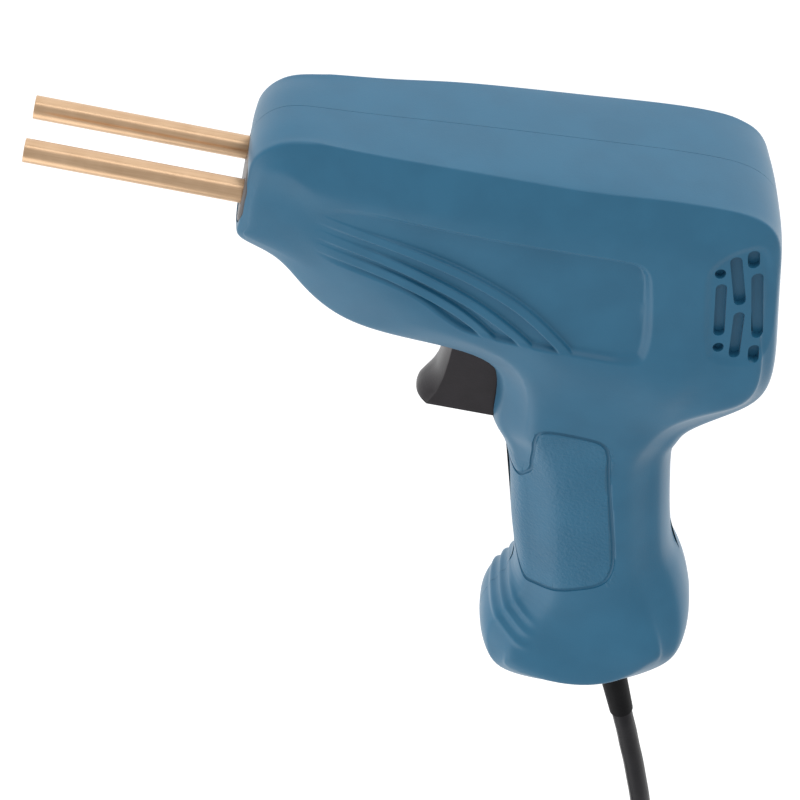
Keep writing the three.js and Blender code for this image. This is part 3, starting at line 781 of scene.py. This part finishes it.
def welded(piece):
    """Merges doubled points and turns all faces outwards."""
    in_edit_mode(piece, "FACE", lambda centre, normal: True,
                 lambda: bpy.ops.mesh.remove_doubles(threshold=1e-4),
                 lambda: bpy.ops.mesh.normals_make_consistent(inside=False))


def groove_cutter(tree):
    side = [(x, y, outer_height(tree, x, y)) for x, y in GROOVE_SIDE]
    line = rounded(GROOVE_FOOT + side + GROOVE_HEAD, False)
    groove, knots = tube("groove", "POLY", len(line), GROOVE_R, 2)
    for knot, place in zip(knots, line):
        nearest = tree.find_nearest(Vector(place))[0]
        if place[2] < 2:
            nearest = Vector((nearest.x, nearest.y, place[2]))
        knot.co = (*nearest, 1)
    pick(groove)
    bpy.ops.object.convert(target="MESH")
    welded(groove)
    return named("groove")


cutters.append(groove_cutter(tree))
print("groove points", len(cutters[-1].data.vertices))

# %% [markdown]
# The right half is the left one mirrored, before anything that differs is cut. The left half gets
# closed screw bosses inside; the right half's bosses are open to the outside as deep wells, where
# the six screws sit.

# %% Screw bosses and the right half
SCREWS = [(21.5, 14.5), (24.5, -14), (119, 19.5), (134, -34.5), (118.5, -62), (105, -134)]
SCREW_SEAT = 9.0
WELL_R = 3.3


def boss_top(x, y, radius):
    """The lowest height of the skin over a boss, so that no corner of the boss comes through."""
    ring = [(x, y)] + [(x + radius * math.cos(turn), y + radius * math.sin(turn))
                       for turn in (i * math.pi / 4 for i in range(8))]
    return min(outer_height(tree, *spot) for spot in ring)


def boss_pieces(radius, reach):
    posts = []
    for x, y in SCREWS:
        top = boss_top(x, y, radius) - reach
        posts.append(round_bar("boss", (x, y, SEAM + 0.1), (x, y, top), radius, 28))
    return join(posts, "bosses")


def screw_holes(depth, radius):
    return [round_bar("hole", (x, y, -1), (x, y, depth), radius, 20) for x, y in SCREWS]


def cut_half(piece, posts, extra, name):
    combine(piece, posts, "UNION")
    print(name, "with bosses", len(piece.data.polygons))
    combine(piece, join([duplicate(cutter) for cutter in cutters], "cores"), "DIFFERENCE")
    combine(piece, join(extra, "holes"), "DIFFERENCE")
    piece.name = piece.data.name = name
    return piece


left = half
right = duplicate(half)
cut_half(left, boss_pieces(3.6, 1.4), screw_holes(11.5, 1.6), "left_casing")
wells = [round_bar("well", (x, y, SCREW_SEAT), (x, y, CUT_TOP), WELL_R, 28) for x, y in SCREWS]
cut_half(right, boss_pieces(4.5, 1.8), screw_holes(12, 1.7) + wells, "right_casing")
for cutter in cutters:
    bpy.data.objects.remove(cutter)
right.data.transform(Matrix.Scale(-1, 4, Vector((0, 0, 1))))
right.data.flip_normals()
TO_ROW = Matrix.Translation(row(0, 0, 0)) @ Matrix.Scale(MM, 4)


def settle(piece, body, slot, *nodes):
    """Takes a piece from the tool's millimetres into the frame, hangs it on its body and hides the parts
    it replaces. The slot argument is not used.
    """
    piece.data.transform(TO_ROW)
    piece.data.update()
    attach(piece, body)
    if nodes:
        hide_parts(*nodes)
    return piece


def sharpen_joint(piece):
    """Keeps the smooth shading of the skin apart from the flat joint."""
    for edge in piece.data.edges:
        if all(abs(piece.data.vertices[i].co.z) < SEAM + 0.01 for i in edge.vertices):
            edge.use_edge_sharp = True


for casing, node in ((left, "left_shell"), (right, "right_shell")):
    soften(casing, 70)
    sharpen_joint(casing)
    settle(casing, "casing", "shell", node)
    print(casing.name, "faces", len(casing.data.polygons))

# %% [markdown]
# ## Nose, rods and trigger
# An insulating plate closes the nose and holds the two brass rods apart. The plate is a block
# with well rounded edges and two drilled holes. The rods are turned bar: the tip is chamfered and
# drilled to take the ends of a staple.

# %% Nose plate
ROD_R = 3.0
ROD_Z = 9.45
ROD_TIP, ROD_BACK = -53.5, 26.0
ROD_CHAMFER = 0.22
PLATE_FRONT, PLATE_BACK = 0.4, 3.2


def make_nose_plate():
    plate = plate_block("nose_plate_fine", 0, PLATE_FRONT, PLATE_BACK, 12)
    round_rims(plate, 0, [PLATE_FRONT], 0.7, 4)
    holes = [round_bar("hole", (-9, 0, z), (9, 0, z), ROD_R + 0.45, 48) for z in (ROD_Z, -ROD_Z)]
    combine(plate, join(holes, "holes"), "DIFFERENCE")
    soften(plate, 35)
    return settle(plate, "casing", "insulator", "nose_plate")


plate = make_nose_plate()
print("nose plate faces", len(plate.data.polygons))

# %% Brass rods
STAPLE_HOLE_R = 0.7
STAPLE_HOLE_DEPTH = 9.0


def make_rod(side):
    z = side * ROD_Z
    rod = round_bar("rod", (ROD_TIP, 0, z), (ROD_BACK, 0, z), ROD_R, 64)
    round_rims(rod, 0, [ROD_TIP, ROD_BACK], ROD_CHAMFER, 3)
    in_edit_mode(rod, "FACE", lambda centre, normal: normal.x < -0.99,
                 lambda: bpy.ops.mesh.inset(thickness=ROD_R - ROD_CHAMFER - STAPLE_HOLE_R),
                 lambda: bpy.ops.mesh.extrude_region_move(
                     TRANSFORM_OT_translate={"value": (STAPLE_HOLE_DEPTH, 0, 0)}))
    soften(rod, 30)
    name = "left" if side > 0 else "right"
    rod.name = rod.data.name = "brass_rod_" + name
    return settle(rod, "casing", "brass", "electrode_rod_" + name)


rods = [make_rod(1), make_rod(-1)]
print("rods", [rod.name for rod in rods])

# %% [markdown]
# The trigger is a solid black moulding. Its sides are flat, and its front is hollowed for the
# finger from top to bottom and rounded from side to side, with a lip at the foot. A block with a
# finely divided front takes this shape when each point of the front is moved to its own depth.

# %% Trigger
TRIGGER_HALF = 7.6
TRIGGER_TOP, TRIGGER_FOOT, TRIGGER_BACK = -25.2, -57.4, 80.0
LUG = ((66, -28.4, -10.5), (79, -25.6, 10.5))      # the bar across the top that guides the trigger
FRONT_POWER = 2.5
FINGER = [(-25.2, 61.5), (-34, 61.0), (-40, 60.4), (-44.7, 60.1), (-47, 59.9), (-49.4, 59.6),
          (-51.8, 58.7), (-54, 57.2), (-56, 56.1), (-57.4, 56.0)]
SIDE_EDGE = [(-25.2, 61.5), (-38, 61.5), (-42.3, 61.6), (-48, 61.4), (-53, 60.6), (-57.4, 58.9)]


def make_trigger():
    block = box("trigger_fine", (58, TRIGGER_FOOT, -TRIGGER_HALF),
                (TRIGGER_BACK, TRIGGER_TOP, TRIGGER_HALF))
    in_edit_mode(block, "FACE", lambda centre, normal: normal.x < -0.9,
                 lambda: bpy.ops.mesh.subdivide(number_cuts=23))
    spots = coordinates(block)
    front = spots[:, 0] < 60
    y, z = spots[:, 1], spots[:, 2]
    middle = np.interp(-y, [-a for a, b in FINGER], [b for a, b in FINGER])
    edge = np.interp(-y, [-a for a, b in SIDE_EDGE], [b for a, b in SIDE_EDGE])
    share = np.abs(z / TRIGGER_HALF) ** FRONT_POWER
    depth = middle + (np.maximum(edge, middle) - middle) * share
    spots[:, 0] = np.where(front, depth, spots[:, 0])
    move_points(block, spots)
    combine(block, box("lug", *LUG), "UNION")
    bevel = block.modifiers.new("edges", "BEVEL")
    bevel.width, bevel.segments, bevel.limit_method = 0.35, 3, "ANGLE"
    bevel.angle_limit = math.radians(40)
    apply_all(block)
    soften(block)
    return settle(block, "trigger", "black_plastic", "trigger")


trigger = make_trigger()
print("trigger faces", len(trigger.data.polygons))

# %% [markdown]
# ## Cord sleeve, plug and tie
# The rubber sleeve tapers away from the base to keep the cord from kinking there. It is a cone
# with a softened rim and a flange inside the casing. The plug is a flat moulded two-pin plug:
# a bar whose rings are pulled to a rounded oblong that widens towards the pins.

# %% Sleeve
SLEEVE_R, SLEEVE_END_R, FLANGE_R = 4.6, 3.45, 6.7


def make_sleeve():
    sleeve = round_bar("cord_sleeve", cord_line(-13), cord_line(RELIEF_OUT), SLEEVE_R, 48, SLEEVE_END_R)
    lean = Vector(cord_line(1)) - Vector(cord_line(0))
    in_edit_mode(sleeve, "FACE", lambda centre, normal: normal.dot(lean) > 0.99,
                 lambda: bpy.ops.mesh.inset(thickness=0.35),
                 lambda: bpy.ops.transform.translate(value=lean * 0.3))
    flange = round_bar("flange", cord_line(-6), cord_line(-3.5), FLANGE_R, 48)
    combine(sleeve, flange, "UNION")
    soften(sleeve)
    return settle(sleeve, "casing", "cord", "strain_relief")


sleeve = make_sleeve()
print("sleeve faces", len(sleeve.data.polygons))

# %% Plug
PLUG_PLACE = (Matrix.Translation((PLUG[0], PLUG[1], SURFACE + PLUG_HALF))
              @ Matrix.Rotation(math.radians(PLUG_TURN), 4, "Z"))
PLUG_LONG = (22.3, 57.0)
PLUG_NECK = (6.2, 5.4)        # half width and half thickness where the cord enters
PLUG_SQUARE = 0.5             # 1 would leave the section round, and 0 would make it a box
GRIP_X, GRIP_STEP, GRIP_R = 41, 2.8, 0.7
PIN_Y, PIN_R = 9.3, 2.0
PIN_END = 76


def ringed_bar(name, start, end, rings, sides=64):
    """A bar along x whose side is cut into rings, so that each ring can be given its own size."""
    bar = round_bar(name, (start, 0, 0), (end, 0, 0), 1.0, sides)
    in_edit_mode(bar, "EDGE", lambda a, b: along(0, a, b),
                 lambda: bpy.ops.mesh.subdivide(number_cuts=rings))
    return bar


def make_plug_body():
    body = ringed_bar("plug_fine", *PLUG_LONG, 30)
    spots = coordinates(body)
    share = (spots[:, 0] - PLUG_LONG[0]) / (PLUG_LONG[1] - PLUG_LONG[0])
    wide = PLUG_NECK[0] + 11.4 * eased((share - 0.22) / 0.45)
    thick = PLUG_NECK[1] + (PLUG_HALF - PLUG_NECK[1]) * eased(share / 0.3)
    rim = 1 - 0.09 * (1 - np.sqrt(np.clip(1 - ((share - 0.93) / 0.07).clip(0, 1) ** 2, 0, 1)))
    for axis, half_size in ((1, wide), (2, thick)):
        section = spots[:, axis]
        spots[:, axis] = np.sign(section) * np.abs(section) ** PLUG_SQUARE * half_size * rim
    move_points(body, spots)
    grips = []
    for i in range(5):
        for side in (-1, 1):
            x, z = GRIP_X + GRIP_STEP * i, side * (PLUG_HALF + 0.25)
            grips.append(round_bar("grip", (x, -30, z), (x, 30, z), GRIP_R, 16))
    combine(body, join(grips, "grips"), "DIFFERENCE")
    soften(body)
    body.data.transform(PLUG_PLACE)
    return settle(body, "casing", "cord", "plug_body")


def make_plug_sleeve():
    sleeve = ringed_bar("plug_sleeve", 0, PLUG_LONG[0] - 0.3, 44, 40)
    spots = coordinates(sleeve)
    share = spots[:, 0] / PLUG_LONG[0]
    groove = 0.35 * np.clip(np.cos(share * 2 * math.pi * 6), 0, 1) * (share > 0.08) * (share < 0.92)
    spots[:, 1:] *= (3.6 + 1.6 * share - groove)[:, None]
    move_points(sleeve, spots)
    soften(sleeve, 50)
    sleeve.data.transform(PLUG_PLACE)
    return settle(sleeve, "casing", "cord", "plug_relief")


def make_pin(number, side):
    pin = round_bar("pin", (50.3, PIN_Y * side, 0), (PIN_END, PIN_Y * side, 0), PIN_R, 32)
    round_rims(pin, 0, [PIN_END], 1.1, 5)
    soften(pin)
    pin.data.transform(PLUG_PLACE)
    pin.name = pin.data.name = f"plug_pin_fine_{number}"
    return settle(pin, "casing", "steel", f"plug_pin_{number}")


plug_pieces = [make_plug_sleeve(), make_plug_body(), make_pin(1, 1), make_pin(2, -1)]
print("plug", [piece.name for piece in plug_pieces])

# %% Coil tie
TIE_AT, TIE_REACH = math.radians(150), 33
BUNDLE = (20.2, 13.1)         # the wound cord's width and height with a little slack


def make_tie():
    wide, high = BUNDLE
    band = box("coil_tie", (-wide / 2 - 0.8, -4, 0), (wide / 2 + 0.8, 4, high + 0.9))
    round_along(band, 1, 3.4, 6)
    inner = box("inner", (-wide / 2, -9, 0.75), (wide / 2, 9, high + 0.1))
    round_along(inner, 1, 2.9, 6)
    combine(band, inner, "DIFFERENCE")
    soften(band)
    place = (Matrix.Translation((COIL[0], COIL[1], SURFACE)) @ Matrix.Rotation(TIE_AT, 4, "Z")
             @ Matrix.Translation((TIE_REACH, 0, 0)))
    band.data.transform(place)
    return settle(band, "casing", "cord")


tie = make_tie()
row(*ROUTE[0])

# %% [markdown]
# ## Screws
# Six cross-head screws hold the halves together from the right. One is modelled and copied.

# %% Housing screws
HEAD_R, HEAD_HIGH = 2.9, 2.2
SHANK_R, SHANK_END = 1.45, 10.5


def make_screw():
    top = -SCREW_SEAT - GAP
    head = round_bar("screw", (0, 0, top - HEAD_HIGH), (0, 0, top), HEAD_R, 40)
    round_rims(head, 2, [top - HEAD_HIGH], 0.8, 4)
    shank = round_bar("shank", (0, 0, top - 0.5), (0, 0, SHANK_END), SHANK_R, 24)
    combine(head, shank, "UNION")
    cross = [box("bar", (-1.7, -0.4, top - 3), (1.7, 0.4, top - 1)),
             box("bar", (-0.4, -1.7, top - 3), (0.4, 1.7, top - 1))]
    for bar in cross:
        combine(head, bar, "DIFFERENCE")
    soften(head, 35)
    return head


def place_screws():
    pattern = make_screw()
    made = []
    for number, (x, y) in enumerate(SCREWS, 1):
        screw = duplicate(pattern)
        screw.data.transform(Matrix.Translation((x, y, 0)))
        screw.name = screw.data.name = f"screw_fine_{number}"
        made.append(settle(screw, "casing", "steel", f"housing_screw_{number}"))
    bpy.data.objects.remove(pattern)
    return made


screws = place_screws()
print("screws", len(screws))

# %% [markdown]
# ## Finishes
# A finish is a small network of nodes. The class below wraps a socket, so that sums on sockets
# read like ordinary Python, and its one method adds any other node.

# %% A socket that can be added and multiplied
class Wire:
    def __init__(self, tree, socket=None):
        self.tree = tree
        self.socket = socket

    def node(self, kind, settings=None, sockets=None, output=0):
        made = self.tree.nodes.new(kind)
        for name, value in (settings or {}).items():
            setattr(made, name, value)
        for name, value in (sockets or {}).items():
            if isinstance(value, Wire):
                self.tree.links.new(value.socket, made.inputs[name])
            else:
                made.inputs[name].default_value = value
        return Wire(self.tree, made.outputs[output])

    def maths(self, operation, *values):
        return self.node("ShaderNodeMath", {"operation": operation}, dict(enumerate(values)))

    def __add__(self, other):
        return self.maths("ADD", self, other)

    def __mul__(self, other):
        return self.maths("MULTIPLY", self, other)

    __radd__ = __add__
    __rmul__ = __mul__

    def clipped(self, low, high):
        return self.node("ShaderNodeMapRange", {"clamp": True},
                         {"Value": self, "From Min": low, "From Max": high})

    def noise(self, scale, detail=2.0, roughness=0.5):
        return self.node("ShaderNodeTexNoise", None, {"Vector": self, "Scale": scale, "Detail": detail,
                                                      "Roughness": roughness})

    def stretched(self, x, y, z):
        return self.node("ShaderNodeVectorMath", {"operation": "MULTIPLY"}, {0: self, 1: (x, y, z)})

    def blend(self, first, second):
        """The first colour where this wire is 0, and the second where it is 1."""
        return self.node("ShaderNodeMix", {"data_type": "RGBA"},
                         {"Factor": self, "A": (*first, 1), "B": (*second, 1)}, output=2)


def new_finish(name, metallic=0.0, **constants):
    finish = bpy.data.materials.new(name)
    finish.use_nodes = True
    tree = finish.node_tree
    shader = tree.nodes["Principled BSDF"]
    shader.inputs["Metallic"].default_value = metallic
    for socket, value in constants.items():
        shader.inputs[socket.replace("_", " ")].default_value = value
    place = Wire(tree).node("ShaderNodeTexCoord", output="Object")

    def into(socket, wire):
        tree.links.new(wire.socket, shader.inputs[socket])
    return finish, place, into


def bumped(wire, height, distance):
    return wire.node("ShaderNodeBump", None, {"Height": height, "Distance": distance, "Strength": 1.0})


def dress(finish, *pieces):
    for piece in pieces:
        piece.data.materials.clear()
        piece.data.materials.append(finish)


# %% [markdown]
# The casing is fine matt nylon, dyed teal blue in the mould. It has a faint mottle, a very fine
# spark-eroded texture, and a leather grain on the grip panel only, which the "grained" attribute
# of the mesh marks.

# %% Blue nylon
BLUE = (0.0155, 0.130, 0.240)
BLUE_LIGHT = (0.019, 0.144, 0.262)


def blue_nylon():
    finish, place, into = new_finish("teal_nylon", IOR=1.5, Sheen_Weight=0.08, Sheen_Roughness=0.4)
    mottle = place.noise(90, 3)
    into("Base Color", mottle.clipped(0.35, 0.65).blend(BLUE, BLUE_LIGHT))
    panel = place.node("ShaderNodeAttribute", {"attribute_name": "grained"}, output="Fac")
    into("Roughness", mottle * 0.06 + 0.37 + panel * 0.06)
    fine = place.noise(2600, 2)
    cells = place.node("ShaderNodeTexVoronoi", {"feature": "SMOOTH_F1"}, {"Vector": place, "Scale": 1050})
    leather = cells * 0.6 + place.noise(1300, 3) * 0.7
    height = fine * 0.10 + leather * panel
    into("Normal", bumped(place, height, 0.00022))
    return finish


dress(blue_nylon(), left, right)


# %% Plastics and rubber
def plastic(name, colour, light, roughness, grain, depth, shine=0.5):
    finish, place, into = new_finish(name, Specular_IOR_Level=shine)
    mottle = place.noise(160, 3)
    into("Base Color", mottle.clipped(0.3, 0.7).blend(colour, light))
    into("Roughness", mottle * 0.08 + roughness)
    into("Normal", bumped(place, place.noise(grain, 2), depth))
    return finish


satin_black = plastic("satin_black_moulding", (0.021, 0.018, 0.021), (0.026, 0.022, 0.026), 0.28, 1800,
                      0.00003, 0.3)
rubber = plastic("cord_rubber", (0.008, 0.0075, 0.010), (0.013, 0.0125, 0.015), 0.40, 1400, 0.00004, 0.2)
sleeve_rubber = plastic("sleeve_rubber", (0.005, 0.005, 0.006), (0.008, 0.008, 0.009), 0.5, 1400,
                        0.00004, 0.09)
white_nylon = plastic("white_nylon", (0.72, 0.70, 0.64), (0.80, 0.78, 0.72), 0.45, 900, 0.00003)
plate_finish = plastic("grey_laminate", (0.115, 0.108, 0.108), (0.16, 0.15, 0.15), 0.42, 1200, 0.00005)
dress(satin_black, trigger)
dress(rubber, *plug_pieces[:2], tie)
dress(sleeve_rubber, sleeve)
cord.data.materials.append(rubber)
dress(plate_finish, plate)

# %% [markdown]
# Drawn brass shows fine lines along the bar and slightly duller patches. The other metals share
# one recipe with their own colour and direction of brushing.


# %% Metals
def metal(name, colour, worn, roughness, brushing, depth=0.000012):
    finish, place, into = new_finish(name, metallic=1.0)
    lines = place.stretched(*brushing).noise(1.0, 4, 0.6)
    patches = place.noise(220, 3)
    into("Base Color", (lines * 0.6 + patches * 0.4).clipped(0.35, 0.68).blend(colour, worn))
    into("Roughness", roughness + lines * 0.10 + patches * 0.06)
    into("Normal", bumped(place, lines, depth))
    return finish


brass = metal("drawn_brass", (0.58, 0.385, 0.235), (0.70, 0.485, 0.31), 0.23, (70, 2600, 2600))
steel = metal("bright_steel", (0.52, 0.52, 0.51), (0.62, 0.62, 0.61), 0.24, (900, 900, 200))
copper = metal("copper_strip", (0.72, 0.38, 0.22), (0.80, 0.46, 0.29), 0.26, (90, 1800, 1800))
dress(brass, *rods)
dress(steel, *screws, *plug_pieces[2:])


def striped(name, first, second, per_metre, metallic, roughness, axis):
    """A finish with regular stripes, for stacked sheets and wound wire."""
    finish, place, into = new_finish(name, metallic=metallic)
    along_axis = place.node("ShaderNodeSeparateXYZ", None, {"Vector": place}, output=axis)
    stripe = (along_axis * (2 * math.pi * per_metre)).maths("SINE") * 0.5 + 0.5
    into("Base Color", (stripe * 0.8 + place.noise(300) * 0.2).blend(first, second))
    into("Roughness", roughness + stripe * 0.12)
    into("Normal", bumped(place, stripe, 0.00012))
    return finish


laminations = striped("stacked_sheets", (0.09, 0.09, 0.10), (0.20, 0.20, 0.21), 1400, 0.7, 0.4, 2)
wound_wire = striped("wound_wire", (0.20, 0.06, 0.025), (0.50, 0.19, 0.08), 1100, 0.5, 0.28, 1)
INNER = {
    "electrode_carrier": plate_finish, "rod_clamp_left": brass, "rod_clamp_right": brass,
    "clamp_screw_left": steel, "clamp_screw_right": steel, "transformer_core": laminations,
    "primary_coil": wound_wire, "secondary_loop": copper, "trigger_spring": steel,
    "switch_body": satin_black, "switch_plunger": white_nylon, "lead_live": rubber,
    "lead_switched": rubber, "lead_neutral": rubber, "inner_cord": rubber, "cord_clamp": white_nylon,
    "cord_clamp_screw_1": steel, "cord_clamp_screw_2": steel}
for node, finish in INNER.items():
    dress(finish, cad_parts[node])
print("inner pieces dressed", len(INNER))

# %% [markdown]
# ## Bench and light
# The gun lies on a plain white bench that glows, as a light table does, so that its shadow stays
# faint. A white tent closes round it, a broad soft light stands low beside the nose, and a long
# low one beyond the top wall draws the pale band along the rods.

# %% Bench and lights
BENCH_SIZE, BENCH_LEVEL = 2.6, -0.0004
BENCH_GLOW, TENT_GLOW = 1.0, 0.67
LIGHT_AWAY = 1.1


def make_bench():
    nothing_selected()
    bpy.ops.mesh.primitive_plane_add(size=BENCH_SIZE, location=(0, 0, BENCH_LEVEL))
    bench = named("bench")
    finish, place, into = new_finish("white_bench", Roughness=0.9, Emission_Color=(1, 1, 1, 1),
                                     Emission_Strength=BENCH_GLOW)
    into("Base Color", place.noise(3, 1).blend((0.24, 0.24, 0.24), (0.26, 0.26, 0.26)))
    dress(finish, bench)


def soft_light(name, direction, size, power):
    data = bpy.data.lights.new(name, "AREA")
    data.shape = "RECTANGLE"
    data.size, data.size_y = size
    data.energy = power
    light = linked(name, data)
    light.location = Vector(direction).normalized() * LIGHT_AWAY
    light.rotation_mode = "QUATERNION"
    light.rotation_quaternion = (-light.location).to_track_quat("-Z", "Y")


def make_tent():
    world = bpy.data.worlds.new("white_tent")
    bpy.context.scene.world = world
    world.use_nodes = True
    background = world.node_tree.nodes["Background"]
    background.inputs["Color"].default_value = (1, 1, 1, 1)
    background.inputs["Strength"].default_value = TENT_GLOW


make_bench()
make_tent()
soft_light("side_light", (-0.62, -0.62, 0.5), (1.5, 0.8), 4.4)
soft_light("back_light", (0.0, 0.95, 0.30), (1.6, 0.26), 2.3)
print("lights", [light.name for light in bpy.data.lights])
bpy.context.scene.view_settings.view_transform = "Standard"
